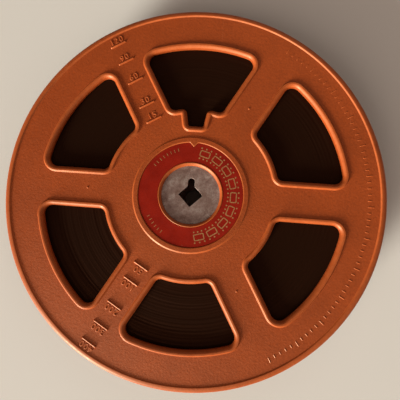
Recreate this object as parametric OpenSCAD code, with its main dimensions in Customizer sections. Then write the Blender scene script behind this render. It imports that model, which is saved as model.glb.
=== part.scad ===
// Cine film reel for 16 mm film, seven inches across, full of film.
// The reel lies flat: +Z leaves the front face along the spindle, +Y points to the keyway and
// the threading notch, and the origin is under the hub, on the surface that the reel lies on.
// Angles of spokes, windows and screws are turned from +Y, clockwise as seen from the front.

/* [Reel] */
// Diameter over the rims of the flanges
rim_d = 177.8; // [164:0.1:190]
// Clear width between the inner faces of the flanges
film_gap = 16.8; // [16.5:0.1:18]

/* [Flange] */
// Thickness of the flat plate of a flange
flange_t = 2.2; // [2:0.1:3]
// Height of the rim bead over the plate
rim_bead_h = 0.5; // [0.3:0.05:1.3]
// Width of the rim bead
rim_bead_w = 3.1; // [2.4:0.1:4]
// Width of the rim bead's inner flank
rim_flank_w = 0.6; // [0.4:0.1:0.7]
// Width of the flat crest of the rim bead and the hub bead
crest_w = 1.2; // [0.6:0.1:1.6]
// Radius of the middle of the hub bead's crest
hub_bead_r = 25.9; // [25.7:0.05:26.4]
// Width of the hub bead
hub_bead_w = 3.6; // [3:0.1:4]
// Height of the hub bead over the plate
hub_bead_h = 0.5; // [0.3:0.05:0.6]
// Height of the window lips over the plate
lip_h = 0.8; // [0.6:0.1:1.3]
// Width of the raised lip round each window
lip_w = 2.6; // [1.2:0.1:2.8]

/* [Windows] */
// Radius of the outer edge of the windows
window_outer_r = 70.4; // [67:0.1:74]
// Radius of the inner edge of the windows
window_inner_r = 41; // [38:0.1:44]
// Width of a spoke, from window to window
spoke_w = 18.6; // [16:0.1:22]
// Radius of a window's two outer corners
outer_corner_r = 4; // [2:0.1:6]
// Radius of a window's two inner corners
inner_corner_r = 3; // [2:0.1:5]
// Radius at which the threading notch ends, over the core
notch_r = 32.4; // [31:0.1:34]
// Width of the threading notch where it leaves its window
notch_mouth_w = 10.4; // [9:0.1:12]
// Width of the threading notch at its inner end
notch_floor_w = 7; // [5:0.1:8]
// Radius of the two corners at the notch's inner end
notch_corner_r = 1; // [0.5:0.1:2]

/* [Scales] */
// Length of a scale bar, across its spoke
bar_len = 8.2; // [4:0.1:12]
// Width of a scale bar
bar_w = 0.8; // [0.5:0.1:1.5]
// Height of a scale bar over the plate
bar_h = 0.6; // [0.2:0.05:0.9]
// Radius at which the gate marks lie on their spokes
gate_r = 48.8; // [44:0.1:52]
// Diameter of a gate mark
gate_d = 1.2; // [0.8:0.1:2]

/* [Hub] */
// Outer radius of a label ring
label_outer_r = 24.4; // [23.5:0.1:24.6]
// Inner radius of a label ring
label_inner_r = 15.3; // [15.1:0.1:16.5]
// Thickness of a label ring
label_t = 0.3; // [0.1:0.05:0.4]
// Depth of the recess that a label ring lies in
label_sink = 0.1; // [0.05:0.05:0.3]
// Width of the pointer that enters the label ring's edge
pointer_w = 4; // [2:0.1:5]
// Depth of the pointer, inwards from the label ring's edge
pointer_depth = 2.2; // [1:0.1:3]
// Height of the collar inside a label ring over the plate
collar_h = 0.4; // [0.2:0.05:0.6]
// Radius of the opening that shows the spindle plate
opening_r = 13.7; // [13:0.1:14.5]
// Radius of a spindle plate
plate_r = 17; // [16.5:0.1:17.4]
// Thickness of a spindle plate
plate_t = 1.5; // [1.2:0.05:1.65]
// Depth of the plate's seat in the inner face of its flange
plate_seat = 1; // [0.6:0.05:1.1]
// Width of the tab that keeps a plate from turning
tab_w = 4; // [2:0.1:6]
// Reach of that tab past the plate's edge
tab_reach = 1.2; // [0.8:0.1:2]
// Side of the square spindle hole in the front plate
square_hole = 8.1; // [7.9:0.05:8.3]
// Width of the keyway in the front plate
keyway_w = 3.2; // [2.8:0.1:3.6]
// Reach of the keyway from the spindle's axis
keyway_reach = 7.92; // [7.6:0.01:8.4]
// Diameter of the round spindle hole in the rear plate
round_hole_d = 8.1; // [7.9:0.05:8.4]

/* [Core] */
// Diameter of the core that the film is wound on
core_d = 59; // [58.5:0.1:60.5]
// Wall of the core's drum
core_wall = 2; // [1.6:0.1:2.2]
// Wall of the tube inside the core, which clamps the plates
tube_wall = 3; // [2:0.1:4]
// Thickness of the ribs between tube and drum
rib_t = 2; // [1.2:0.1:3]
// Width of the slot that takes the film's end
slot_w = 1.6; // [1:0.1:3]
// Height of the ring on each flange that centres the core
spigot_h = 1.2; // [0.6:0.1:2]
// Wall of that ring
spigot_wall = 1.4; // [1:0.1:1.6]

/* [Screws] */
// Diameter of a screw's shank
shank_d = 2.9; // [2.5:0.1:3.2]
// Diameter of a screw's countersunk head
head_d = 5.4; // [5:0.1:5.6]
// Reach of a screw into the core's boss
screw_reach = 6; // [4:0.1:7]
// Wall of a boss round its screw
boss_wall = 1.8; // [1.2:0.1:2]
// Width of the slot in a screw's head
drive_w = 0.8; // [0.6:0.05:1]
// Depth of that slot
drive_depth = 0.6; // [0.3:0.05:0.7]

/* [Film] */
// Width of the film
film_w = 16; // [15.8:0.05:16.1]
// Thickness of the film
film_t = 0.15; // [0.14:0.005:0.16]
// Margin from the rim's edge to the outside of a full roll
roll_margin = 7.66; // [6.6:0.02:10]
// Clear gap between the drawn outer turns
turn_gap = 0.5; // [0.42:0.02:0.8]

/* [Clearances] */
// Gap round pieces that are dropped into a seat
seat_gap = 0.1; // [0.05:0.05:0.2]
// Gap between the film pack and the core that it turns on
film_fit = 0.1; // [0.05:0.05:0.2]
// Gap between a screw and its holes
screw_gap = 0.05; // [0.02:0.01:0.1]

/* [Hidden] */
$fn = 96;
SPOKES = 6;
SPOKE_STEP = 360 / SPOKES;
FIRST_SPOKE = SPOKE_STEP / 2;
SCREWS = 3;
SCREW_STEP = 360 / SCREWS;
OUTER_TURNS = 2;

// Overshoot of a cutter past the faces that it cuts, and of a raised shape into its plate.
cut = 1;
root = 0.2;
orange = [0.72, 0.33, 0.15];
red = [0.6, 0.1, 0.07];
steel = [0.62, 0.59, 0.56];
film_brown = [0.12, 0.07, 0.05];

rim_r = rim_d / 2;
core_r = core_d / 2;
half_w = film_gap / 2 + flange_t + max(rim_bead_h, lip_h);
drum_bore_r = core_r - core_wall;
tube_bore_r = plate_r - tube_wall;
// A plate stands out of its seat by this much, so the core's tube is that much shorter at each end.
plate_proud = plate_t - plate_seat;
tube_h = film_gap - 2 * plate_proud;
rib_h = film_gap - 2 * (spigot_h + seat_gap);

// Steps that make round each bead's flank, each corner of a window or notch, and each long arc.
flank_steps = 6;
corner_steps = 5;
arc_steps = 8;

// The scales: a bar stands where the roll's edge is when that share of the full length is wound.
// The scale in feet ends a little further out, at 400 feet, than the scale in metres at 120 metres.
roll_r = rim_r - roll_margin;
full_metres = 120;
full_feet = 400;
metres_per_foot = 0.3048;
feet_reach = full_feet * metres_per_foot / full_metres;
mark_shares = [1 / 8, 1 / 4, 1 / 2, 3 / 4, 1];
metre_spoke = -FIRST_SPOKE;
feet_spoke = -FIRST_SPOKE - 2 * SPOKE_STEP;
function wound_r(share) = sqrt(pow(core_r, 2) + share * (pow(roll_r, 2) - pow(core_r, 2)));

// The roll: a plain pack, then the outer turns in half turns of a spiral with two centres.
turn_pitch = film_t + turn_gap;
turn_start_r = roll_r - film_t - OUTER_TURNS * turn_pitch;
pack_r = turn_start_r - seat_gap;
pack_bore_r = core_r + film_fit;

// The screws stand in the middle of the label ring, on every other spoke.
screw_circle_r = (label_inner_r + label_outer_r) / 2;
shank_r = shank_d / 2;
head_r = head_d / 2;
head_h = head_r - shank_r;
boss_r = shank_r + screw_gap + boss_wall;
web_t = flange_t - label_sink;

// Local shapes are drawn with the reel's middle plane at z = 0 and then lifted by half the width.
module lifted() { translate([0, 0, half_w]) children(); }
module clockwise(angle) { rotate(-angle) children(); }
module facing_back() { rotate([0, 180, 0]) children(); }
module on_front() { lifted() translate([0, 0, film_gap / 2]) children(); }
module on_rear() { lifted() facing_back() translate([0, 0, film_gap / 2]) children(); }

function arc(centre, radius, from, to, steps) =
    [for (i = [0:steps]) let (a = from + (to - from) * i / steps) centre + radius * [cos(a), sin(a)]];
function mirrored(points) = [for (i = [len(points) - 1:-1:0]) [-points[i].x, points[i].y]];

// Half outline of the window on +Y, right side, grown outwards by a margin for its lip.
side_normal = FIRST_SPOKE - SPOKE_STEP;
function corner_turn(radius, offset) = 90 - FIRST_SPOKE + asin(offset / radius);
outer_centre_r = window_outer_r - outer_corner_r;
inner_centre_r = window_inner_r + inner_corner_r;
outer_turn = corner_turn(outer_centre_r, spoke_w / 2 + outer_corner_r);
inner_turn = corner_turn(inner_centre_r, spoke_w / 2 + inner_corner_r);
outer_centre = outer_centre_r * [cos(outer_turn), sin(outer_turn)];
inner_centre = inner_centre_r * [cos(inner_turn), sin(inner_turn)];
function window_side(grow) = concat(
    arc([0, 0], window_inner_r - grow, 90, inner_turn, arc_steps),
    arc(inner_centre, inner_corner_r + grow, inner_turn + 180, side_normal + 360, corner_steps),
    arc(outer_centre, outer_corner_r + grow, side_normal, outer_turn, corner_steps),
    arc([0, 0], window_outer_r + grow, outer_turn, 90, arc_steps)
);
module window_shape(grow = 0) {
    side = window_side(grow);
    polygon(concat(side, mirrored(side)));
}

// The notch narrows inwards from the window; its sides lean by this angle from the radius.
notch_depth = window_inner_r - notch_r;
notch_lean = atan((notch_mouth_w - notch_floor_w) / 2 / notch_depth);
notch_top = window_inner_r + inner_corner_r;
function notch_half(y, grow) = notch_floor_w / 2 + (y - notch_r) * tan(notch_lean) + grow / cos(notch_lean);
function notch_inset_x() = notch_half(notch_r + notch_corner_r, 0) - notch_corner_r / cos(notch_lean);
function notch_side(grow) = concat(
    arc([notch_inset_x(), notch_r + notch_corner_r], notch_corner_r + grow, -90, -notch_lean, corner_steps),
    [[notch_half(notch_top, grow), notch_top]]
);
module notch_shape(grow = 0) {
    side = notch_side(grow);
    polygon(concat(side, mirrored(side)));
}

// Round bead on the plate: flanks that rise as quarter ellipses to a flat crest.
function bead_flank(run, height) =
    [for (i = [0:flank_steps]) let (a = 90 * i / flank_steps)
        [crest_w / 2 + run * cos(a), height * sin(a)]];
module bead_section(inner_run, outer_run, height) {
    polygon(concat(
        [[crest_w / 2 + outer_run, -root]],
        bead_flank(outer_run, height),
        mirrored(bead_flank(inner_run, height)),
        [[-crest_w / 2 - inner_run, -root]]
    ));
}
module round_bead(crest_r, inner_run, outer_run, height) {
    translate([0, 0, flange_t]) rotate_extrude() translate([crest_r, 0])
        bead_section(inner_run, outer_run, height);
}
module rim_bead() {
    inner_r = rim_r - rim_bead_w;
    outer_run = rim_bead_w - rim_flank_w - crest_w;
    round_bead(inner_r + rim_flank_w + crest_w / 2, rim_flank_w, outer_run, rim_bead_h);
}
module hub_bead() {
    run = (hub_bead_w - crest_w) / 2;
    round_bead(hub_bead_r, run, run, hub_bead_h);
}

// Raised lip round a window, in two steps: a full foot and a narrower crest.
module lip_step(outer, inner, height) {
    translate([0, 0, flange_t - root]) linear_extrude(height + root) difference() {
        union() {
            window_shape(outer);
            children();
        }
        window_shape(inner);
    }
}
module lip(notched) {
    crest_margin = lip_w / 4;
    lip_step(lip_w, 0, lip_h / 2) if (notched) notch_shape(lip_w);
    lip_step(lip_w - crest_margin, crest_margin / 2, lip_h)
        if (notched) notch_shape(lip_w - crest_margin);
}

// Only the first window, on +Y, has the threading notch.
module each_window() {
    for (i = [0:SPOKES - 1]) {
        $notched = i == 0;
        clockwise(i * SPOKE_STEP) children();
    }
}

module window_holes() {
    each_window() translate([0, 0, -cut]) linear_extrude(flange_t + lip_h + 2 * cut) {
        window_shape();
        if ($notched) notch_shape();
    }
}

// Scale bars across a spoke, one for each share of the scale's full length.
module scale_bars(angle, reach) {
    clockwise(angle) for (share = mark_shares)
        translate([-bar_len / 2, wound_r(share * reach) - bar_w / 2, flange_t - root])
            cube([bar_len, bar_w, bar_h + root]);
}
module gate_marks() {
    for (i = [0:SCREWS - 1]) clockwise(FIRST_SPOKE + i * SCREW_STEP) translate([0, gate_r, flange_t - root])
        cylinder(d = gate_d, h = bar_h + root);
}

// Label ring outline; a gap makes it the recess that the ring lies in.
module pointer_shape(gap) {
    base_y = label_outer_r + cut;
    tip_y = label_outer_r - pointer_depth - gap;
    base_half = pointer_w / 2 * (base_y - tip_y) / pointer_depth;
    polygon([[0, tip_y], [base_half, base_y], [-base_half, base_y]]);
}
module label_shape(gap) {
    difference() {
        circle(label_outer_r + gap);
        circle(label_inner_r - gap);
        pointer_shape(seat_gap - gap);
    }
}

// Spindle plate outline with the tab that stops it turning; a gap makes it the plate's seat.
module plate_shape(gap) {
    circle(plate_r + gap);
    translate([-tab_w / 2 - gap, -plate_r - tab_reach - gap]) square([tab_w + 2 * gap, plate_r]);
}

module at_screw(number) {
    clockwise(FIRST_SPOKE + number * SCREW_STEP) translate([0, screw_circle_r, 0]) children();
}
// Countersunk screw, drawn downwards from the floor of the label recess; a gap makes it its hole.
module screw_solid(gap, reach) {
    translate([0, 0, -head_h]) cylinder(r1 = shank_r + gap, r2 = head_r + gap, h = head_h);
    translate([0, 0, -web_t - reach]) cylinder(r = shank_r + gap, h = web_t + reach);
}

module flange() {
    recess_h = label_sink + max(hub_bead_h, collar_h) + cut;
    color(orange) difference() {
        union() {
            cylinder(r = rim_r, h = flange_t);
            rim_bead();
            hub_bead();
            cylinder(r = label_inner_r, h = flange_t + collar_h);
            each_window() lip($notched);
            scale_bars(metre_spoke, 1);
            scale_bars(feet_spoke, feet_reach);
            gate_marks();
            spigot();
        }
        window_holes();
        translate([0, 0, web_t]) linear_extrude(recess_h) label_shape(seat_gap);
        translate([0, 0, -cut]) cylinder(r = opening_r, h = flange_t + collar_h + 2 * cut);
        translate([0, 0, -cut]) linear_extrude(plate_seat + cut) plate_shape(seat_gap);
        for (i = [0:SCREWS - 1]) at_screw(i) translate([0, 0, web_t]) screw_solid(screw_gap, cut);
    }
}

// Ring on the inner face of a flange that enters the drum of the core.
module spigot() {
    spigot_r = drum_bore_r - seat_gap;
    translate([0, 0, -spigot_h]) difference() {
        cylinder(r = spigot_r, h = spigot_h + root);
        translate([0, 0, -cut]) cylinder(r = spigot_r - spigot_wall, h = spigot_h + root + 2 * cut);
    }
}

module front_flange() { on_front() flange(); }
module rear_flange() { on_rear() flange(); }

module core_ribs() {
    for (i = [0:SPOKES - 1]) clockwise(FIRST_SPOKE + i * SPOKE_STEP)
        translate([-rib_t / 2, tube_bore_r + tube_wall / 2, -rib_h / 2])
            cube([rib_t, drum_bore_r + core_wall / 2 - tube_bore_r - tube_wall / 2, rib_h]);
}
module tube(outer_r, inner_r, height) {
    translate([0, 0, -height / 2]) difference() {
        cylinder(r = outer_r, h = height);
        translate([0, 0, -cut]) cylinder(r = inner_r, h = height + 2 * cut);
    }
}
// The front's screws and the rear's take turns round the core.
module at_core_screws() {
    for (i = [0:SCREWS - 1]) at_screw(i) children();
    facing_back() for (i = [0:SCREWS - 1]) at_screw(i) children();
}
module film_core() {
    hole_depth = screw_reach + cut;
    color(orange) lifted() difference() {
        union() {
            tube(core_r, drum_bore_r, film_gap);
            tube(plate_r, tube_bore_r, tube_h);
            core_ribs();
            at_core_screws() cylinder(r = boss_r, h = film_gap, center = true);
        }
        at_core_screws() translate([0, 0, film_gap / 2 - hole_depth])
            cylinder(r = shank_r + screw_gap, h = hole_depth + cut);
        for (side = [0, 1]) mirror([0, 0, side])
            translate([0, 0, tube_h / 2]) linear_extrude(plate_proud + cut) plate_shape(seat_gap);
        translate([-slot_w / 2, drum_bore_r - cut, -film_gap / 2 - cut])
            cube([slot_w, core_wall + 2 * cut, film_gap + 2 * cut]);
    }
}

module plate_blank() {
    translate([0, 0, -plate_proud]) linear_extrude(plate_t) difference() {
        plate_shape(0);
        children();
    }
}
module front_spindle_plate() {
    color(steel) on_front() plate_blank() {
        rotate(45) square(square_hole, center = true);
        translate([0, keyway_reach - keyway_w / 2]) circle(d = keyway_w);
        translate([-keyway_w / 2, 0]) square([keyway_w, keyway_reach - keyway_w / 2]);
    }
}
module rear_spindle_plate() {
    color(steel) on_rear() plate_blank() circle(d = round_hole_d);
}

module label_ring() {
    color(red) translate([0, 0, web_t]) linear_extrude(label_t) label_shape(0);
}
module front_label_ring() { on_front() label_ring(); }
module rear_label_ring() { on_rear() label_ring(); }

module screw(number) {
    color(steel) at_screw(number - 1) translate([0, 0, web_t]) difference() {
        screw_solid(0, screw_reach);
        translate([-head_r - cut, -drive_w / 2, -drive_depth])
            cube([head_d + 2 * cut, drive_w, drive_depth + cut]);
    }
}
module front_screw(number) { on_front() screw(number); }
module rear_screw(number) { on_rear() screw(number); }

module film_pack() {
    color(film_brown) lifted() tube(pack_r, pack_bore_r, film_w);
}

// Half turns of the film over the pack: each upper half turns about the axis, each lower half
// about a centre half a pitch aside, so the strip runs on without a break and rises one pitch a turn.
function half_turn_r(i) = turn_start_r + i * turn_pitch / 2;
function half_turn_centre(i) = i % 2 == 0 ? 0 : turn_pitch / 2;
module half_turn(i) {
    translate([half_turn_centre(i), 0, -film_w / 2]) rotate(180 * (i % 2)) rotate_extrude(angle = 180)
        translate([half_turn_r(i), 0]) square([film_t, film_w]);
}
module film_outer_turns() {
    color(film_brown) lifted() for (i = [0:2 * OUTER_TURNS - 1]) half_turn(i);
}

// Least gap from each turn of the strip to the next, measured on points round the turn.
gap_step = 5;
function turn_point(i, a) =
    [half_turn_centre(i), 0] + half_turn_r(i) * [cos(a + 180 * i), sin(a + 180 * i)];
turn_gaps = [for (i = [0:2 * OUTER_TURNS - 3], a = [0:gap_step:180])
    norm(turn_point(i + 2, a) - turn_point(i, a)) - film_t];
echo(least_gap_between_turns = min(turn_gaps));

// Length of film on the full reel, which the roll's section and the film's thickness give.
mm_per_metre = 1000;
echo(film_metres = PI * (pow(roll_r, 2) - pow(core_r, 2)) / film_t / mm_per_metre);

front_flange();
rear_flange();
film_core();
front_spindle_plate();
rear_spindle_plate();
front_label_ring();
rear_label_ring();
for (i = [1:SCREWS]) front_screw(i);
for (i = [1:SCREWS]) rear_screw(i);
film_pack();
film_outer_turns();
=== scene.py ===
"""Looks of a cine film reel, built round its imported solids.

The frame is in metres: +Z leaves the front face, +Y points to the keyway and the threading notch.
Spokes, windows and marks are turned from +Y, in degrees, clockwise as seen from the flange's own side.
"""
import math
import random

import bmesh
import bpy
from mathutils import Matrix, Vector


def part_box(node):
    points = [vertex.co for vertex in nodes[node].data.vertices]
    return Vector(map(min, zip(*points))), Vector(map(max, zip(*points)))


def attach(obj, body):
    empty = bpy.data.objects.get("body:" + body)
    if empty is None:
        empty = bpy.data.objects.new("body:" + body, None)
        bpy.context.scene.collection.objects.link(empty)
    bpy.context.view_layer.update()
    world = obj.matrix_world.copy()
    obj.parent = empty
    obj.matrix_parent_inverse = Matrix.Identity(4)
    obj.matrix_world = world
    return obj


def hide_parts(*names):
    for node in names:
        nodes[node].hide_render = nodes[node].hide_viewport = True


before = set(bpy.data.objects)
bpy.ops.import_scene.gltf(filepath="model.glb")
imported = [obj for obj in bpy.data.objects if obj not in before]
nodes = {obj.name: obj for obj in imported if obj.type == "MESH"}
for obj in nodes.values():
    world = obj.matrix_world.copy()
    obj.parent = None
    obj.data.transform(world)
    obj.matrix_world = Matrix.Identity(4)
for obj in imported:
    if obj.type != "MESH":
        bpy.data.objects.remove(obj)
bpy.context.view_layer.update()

MM = 0.001

# Flange: the plate, its beads and the lips round its windows. Slopes are in degrees.
FLANGE_T = 2.2 * MM
RIM_BEAD_H = 0.5 * MM
RIM_CREST_R = 86.6 * MM
RIM_ROUND_H = 1.3 * MM
RIM_SLOPE = 44
HUB_BEAD_H = 0.5 * MM
HUB_CREST_R = 26.6 * MM
HUB_ROUND_W = 0.45 * MM
HUB_ROUND_H = 0.4 * MM
HUB_SLOPE = 40
LIP_H = 0.8 * MM
LIP_LEDGE = 0.15 * MM
LIP_ROUND_W = 1.25 * MM
LIP_ROUND_H = 1.3 * MM
LIP_FULLNESS = 1.4
LIP_FLAT = 0.6 * MM
LIP_SLOPE = 52
CREST_ROUND = 0.28 * MM
FOOT_ROUND = 0.15 * MM
EDGE_ROUND = 0.3 * MM
SUPPORT = 0.2 * MM

# Wear of the plastic runs from 0, untouched, to 1, a rubbed crest; the paler colour it gives crests is
# partly a painted highlight.
CREST_WEAR_AND_HIGHLIGHT = 1
RIM_WEAR_AND_HIGHLIGHT = 0.9
# Edges at the inner face: shares of EDGE_ROUND into the plastic and up, and the wear and painted highlight
# there.
RIM_EDGE = ((1.5, 0, 0.2), (1, 0, 0.4), (0.3, 0.3, 0.7), (0, 1, 0.5))
WINDOW_EDGE = ((1.5, 0, 0), (0.6, 0, 0.4), (0.15, 0.25, 0.6), (0, 0.8, 0.4))
# Ledge between a window's wall and its lip: shares of LIP_LEDGE into the plastic and up, and the wear and
# painted highlight.
LEDGE_EDGE = ((0, -0.5, 0.4), (0.25, -0.125, 0.6))

# Windows and the threading notch.
SPOKES = 6
SPOKE_STEP = 360 / SPOKES
FIRST_SPOKE = SPOKE_STEP / 2
WINDOW_OUTER_R = 70.4 * MM
WINDOW_INNER_R = 41.0 * MM
SPOKE_HALF_W = 9.3 * MM
OUTER_CORNER_R = 4.0 * MM
INNER_CORNER_R = 3.0 * MM
NOTCH_R = 32.4 * MM
NOTCH_MOUTH_W = 10.4 * MM
NOTCH_FLOOR_W = 7.0 * MM
NOTCH_CORNER_R = 1.0 * MM
MOUTH_ROUND = 2.2 * MM

# Hub: label recess, collar, plate seat, screw holes and the ring that centres the core.
LABEL_OUTER_R = 24.4 * MM
LABEL_INNER_R = 15.3 * MM
LABEL_T = 0.3 * MM
LABEL_SOFT = LABEL_T * 0.3
LABEL_SINK = 0.1 * MM
POINTER_W = 4.0 * MM
POINTER_DEPTH = 2.2 * MM
COLLAR_SHOULDER = 0.35 * MM
COLLAR_RISE = 0.4 * MM
COLLAR_DROP = 1.3 * MM
COLLAR_FULLNESS = 1.4
OPENING_R = 13.7 * MM
PLATE_R = 17.0 * MM
PLATE_SEAT = 1.0 * MM
TAB_W = 4.0 * MM
TAB_REACH = 1.2 * MM
CORE_R = 29.5 * MM
CORE_WALL = 2.0 * MM
SPIGOT_H = 1.2 * MM
SPIGOT_WALL = 1.4 * MM
SCREWS = 3
SCREW_STEP = 360 / SCREWS
SHANK_R = 1.45 * MM
HEAD_R = 2.7 * MM
SEAT_GAP = 0.1 * MM
SCREW_GAP = 0.05 * MM

# Raised marks on a flange: scale bars with numbers, gate marks and ticks.
MARK_ROOT = 0.1 * MM
BAR_LEN = 8.2 * MM
BAR_W = 1.2 * MM
BAR_H = 0.6 * MM
# Corner of a bar as a share of its lesser half.
BAR_CORNER = 0.9
# Section of a bar: shares of its lesser width from the side, and of its height.
BAR_SECTION = ((0, 0.02), (0.1, 0.3), (0.2, 0.56), (0.3, 0.78), (0.4, 0.94), (0.47, 1))
METRE_MARKS = (15, 30, 60, 90, 120)
FEET_MARKS = (50, 100, 200, 300, 400)
METRES_PER_FOOT = 0.3048
METRE_SPOKE = -FIRST_SPOKE
FEET_SPOKE = -FIRST_SPOKE - 2 * SPOKE_STEP
NUMBER_H = 2.8 * MM
# Size of the typeface for one unit of digit height.
TYPE_SIZE = 1.42
NUMBER_SPACING = 1.2
NUMBER_LIFT = 0.9 * MM
NUMBER_SOFT = 0.18 * MM
NUMBER_THINNING = NUMBER_SOFT / 4
NUMBER_RISE = 0.3 * MM
GATE_R = 48.8 * MM
GATE_D = 1.0 * MM
# Section of a gate mark: shares of its radius, and heights.
GATE_SECTION = ((1, -MARK_ROOT), (1, 0.03 * MM), (0.75, 0.17 * MM), (0.45, 0.24 * MM), (0.2, 0.23 * MM))
TICK_R = 80.4 * MM
TICK_LEN = 1.7 * MM
LONG_TICK_LEN = 2.8 * MM
TICK_W = 0.5 * MM
TICK_H = 0.16 * MM
TICK_FROM = 30
TICK_STEP = 2
TICK_COUNT = 61
LONG_TICK_EVERY = 5

# Print on a label ring: a strip of picture frames with holes, and two rows of strokes.
PRINT_T = 0.03 * MM
PRINT_R = 20.0 * MM
PRINT_FRAME_W = 5.0 * MM
PRINT_FRAME_H = 3.2 * MM
PRINT_CORNER = 0.7 * MM
PRINT_CORNER_LEAST = PRINT_CORNER / 4
PRINT_LINE = 0.5 * MM
PRINT_FROM = 16
PRINT_STEP = 18.5
PRINT_COUNT = 9
PRINT_HOLE = 0.75 * MM
PRINT_HOLE_OFF = 2.45 * MM
PRINT_HOLE_TURNS = (-6, 0, 6)
STROKE_R = 21.7 * MM
STROKE_LEN = 1.5 * MM
STROKE_W = 0.3 * MM
# Angle of the first stroke and number of strokes in a row.
STROKE_ROWS = ((-54, 8), (214, 6))
STROKE_STEP = 5

# Film: the strip and its perforations.
FILM_T = 0.15 * MM
FILM_W = 16.0 * MM
FILM_FIT = 0.1 * MM
TURN_GAP = 0.5 * MM
OUTER_TURNS = 2
FRAME_PITCH = 7.62 * MM
PERF_ALONG = 1.27 * MM
PERF_ACROSS = 1.83 * MM
PERF_MARGIN = 0.91 * MM

# Wound film: the spacing of the turns that are drawn, and the seed of their unevenness.
PACK_SPACING = 0.4 * MM
PACK_SEED = 16
# How far the edge of a turn lies below the film's width, in millimetres.
DEPTH_START = 0.2
DEPTH_LEAST = 0.1
DEPTH_MOST = 0.3
DEPTH_DRIFT = 0.03
DEPTH_JITTER = 0.012
SWAY = 0.04
# Edges sway in one to this many waves round the roll.
SWAY_KINDS = 3
# Turns that stand proud: their number, where they may lie, and by how many millimetres they rise.
PROUD_TURNS = 5
PROUD_FROM = 8
PROUD_BEFORE_END = 4
PROUD_RISE = 0.1
PROUD_DEPTH = 0.05

# What the frame gives, and what follows from it and from the sizes above.
RIM_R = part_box("front_flange")[1].x
FRONT_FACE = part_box("front_flange")[1].z - FLANGE_T - LIP_H
REAR_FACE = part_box("rear_flange")[0].z + FLANGE_T + LIP_H
MIDDLE = (FRONT_FACE + REAR_FACE) / 2
ROLL_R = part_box("film_outer_turns")[1].x
WEB_T = FLANGE_T - LABEL_SINK
SCREW_CIRCLE_R = (LABEL_INNER_R + LABEL_OUTER_R) / 2
TURN_PITCH = FILM_T + TURN_GAP
TURN_START_R = ROLL_R - FILM_T - OUTER_TURNS * TURN_PITCH
PACK_R = TURN_START_R - SEAT_GAP
PACK_BORE_R = CORE_R + FILM_FIT
ON_FRONT = Matrix.Translation((0, 0, FRONT_FACE))
ON_REAR = Matrix.Translation((0, 0, REAR_FACE)) @ Matrix.Rotation(math.pi, 4, "Y")
AT_MIDDLE = Matrix.Translation((0, 0, MIDDLE))

# Fineness of the meshes. Edges that bend by more than the sharp angles, in degrees, aren't smoothed.
RIM_STEPS = 256
PACK_STEPS = 240
HUB_STEPS = 160
HOLE_STEPS = 32
ARC_STEPS = 24
GATE_STEPS = 20
CORNER_STEPS = 8
FLANK_STEPS = 8
PRINT_CORNER_STEPS = 6
NUMBER_CURVE_STEPS = 6
BAR_CORNER_STEPS = 4
NUMBER_SOFT_STEPS = 2
SHARP = 40
PACK_SHARP = 60
STRIP_SHARP = 35


def polar(radius, degrees):
    """Point at an angle counted counter-clockwise from +X."""
    a = math.radians(degrees)
    return radius * math.cos(a), radius * math.sin(a)


def arc(centre, radius, start, stop, steps):
    """Points along an arc, both ends included."""
    turns = [start + (stop - start) * i / steps for i in range(steps + 1)]
    return [(centre[0] + x, centre[1] + y) for x, y in (polar(radius, a) for a in turns)]


def circle(radius, steps, centre=(0, 0)):
    """Points round a whole circle."""
    return arc(centre, radius, 0, 360, steps)[:-1]


def clockwise(points, degrees):
    """Points turned about the hub."""
    a = math.radians(-degrees)
    return [(x * math.cos(a) - y * math.sin(a), x * math.sin(a) + y * math.cos(a)) for x, y in points]


def mirrored_loop(side):
    """A closed loop from its right half, which starts and ends on the Y axis."""
    return side + [(-x, y) for x, y in reversed(side[1:-1])]


def rounded_box(centre_r, half_x, half_y, corner, steps, turned):
    """Outline of a box with round corners that lies across the radius."""
    x, y = half_x - corner, half_y - corner
    points = []
    for cx, cy, start in ((x, y, 0), (-x, y, 90), (-x, -y, 180), (x, -y, 270)):
        points += arc((cx, centre_r + cy), corner, start, start + 90, steps)
    return clockwise(points, turned)


class Shell:
    """A mesh made of closed rings of points that are bridged, and of flat areas filled between rings.

    It is held in millimetres, because fills lose points that lie very close, and is scaled when finished.
    """

    NEAR = 0.002

    def __init__(self):
        self.bm = bmesh.new()
        # Wear per point, which also paints crests and marks paler as a painted highlight.
        self.wear = self.bm.verts.layers.float.new("wear")

    def ring(self, outline, z, wear=0):
        verts = [self.bm.verts.new((x / MM, y / MM, z / MM)) for x, y in outline]
        for vert in verts:
            vert[self.wear] = wear
        return verts

    def bridge(self, first, second):
        for i in range(len(first)):
            j = (i + 1) % len(first)
            self.bm.faces.new((first[i], first[j], second[j], second[i]))

    def loft(self, rings):
        for first, second in zip(rings, rings[1:]):
            self.bridge(first, second)
        return rings

    def lathe(self, profile, steps):
        """Lofted circles from rows of radius, height, and wear with its painted highlight."""
        return self.loft([self.ring(circle(r, steps), z, wear) for r, z, wear in profile])

    def fill(self, *rings):
        """Flat faces between rings, past points that lie too close to the last one."""
        edges = []
        for ring in rings:
            pairs = zip(ring, ring[-1:] + ring[:-1])
            apart = [vert for vert, last in pairs if (vert.co - last.co).length > self.NEAR]
            for first, second in zip(apart, apart[1:] + apart[:1]):
                edges.append(self.bm.edges.get((first, second)) or self.bm.edges.new((first, second)))
        bmesh.ops.triangle_fill(self.bm, use_beauty=True, use_dissolve=False, edges=edges)

    def capped(self, rings):
        """A loft that is filled at both ends."""
        self.loft(rings)
        self.fill(rings[0])
        self.fill(rings[-1])

    def object(self, name, place, sharp=SHARP):
        """The finished mesh as an object, moved to its place in the reel."""
        bmesh.ops.remove_doubles(self.bm, verts=self.bm.verts, dist=self.NEAR)
        return finished(name, self.bm, place @ Matrix.Scale(MM, 4), sharp)


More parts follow.
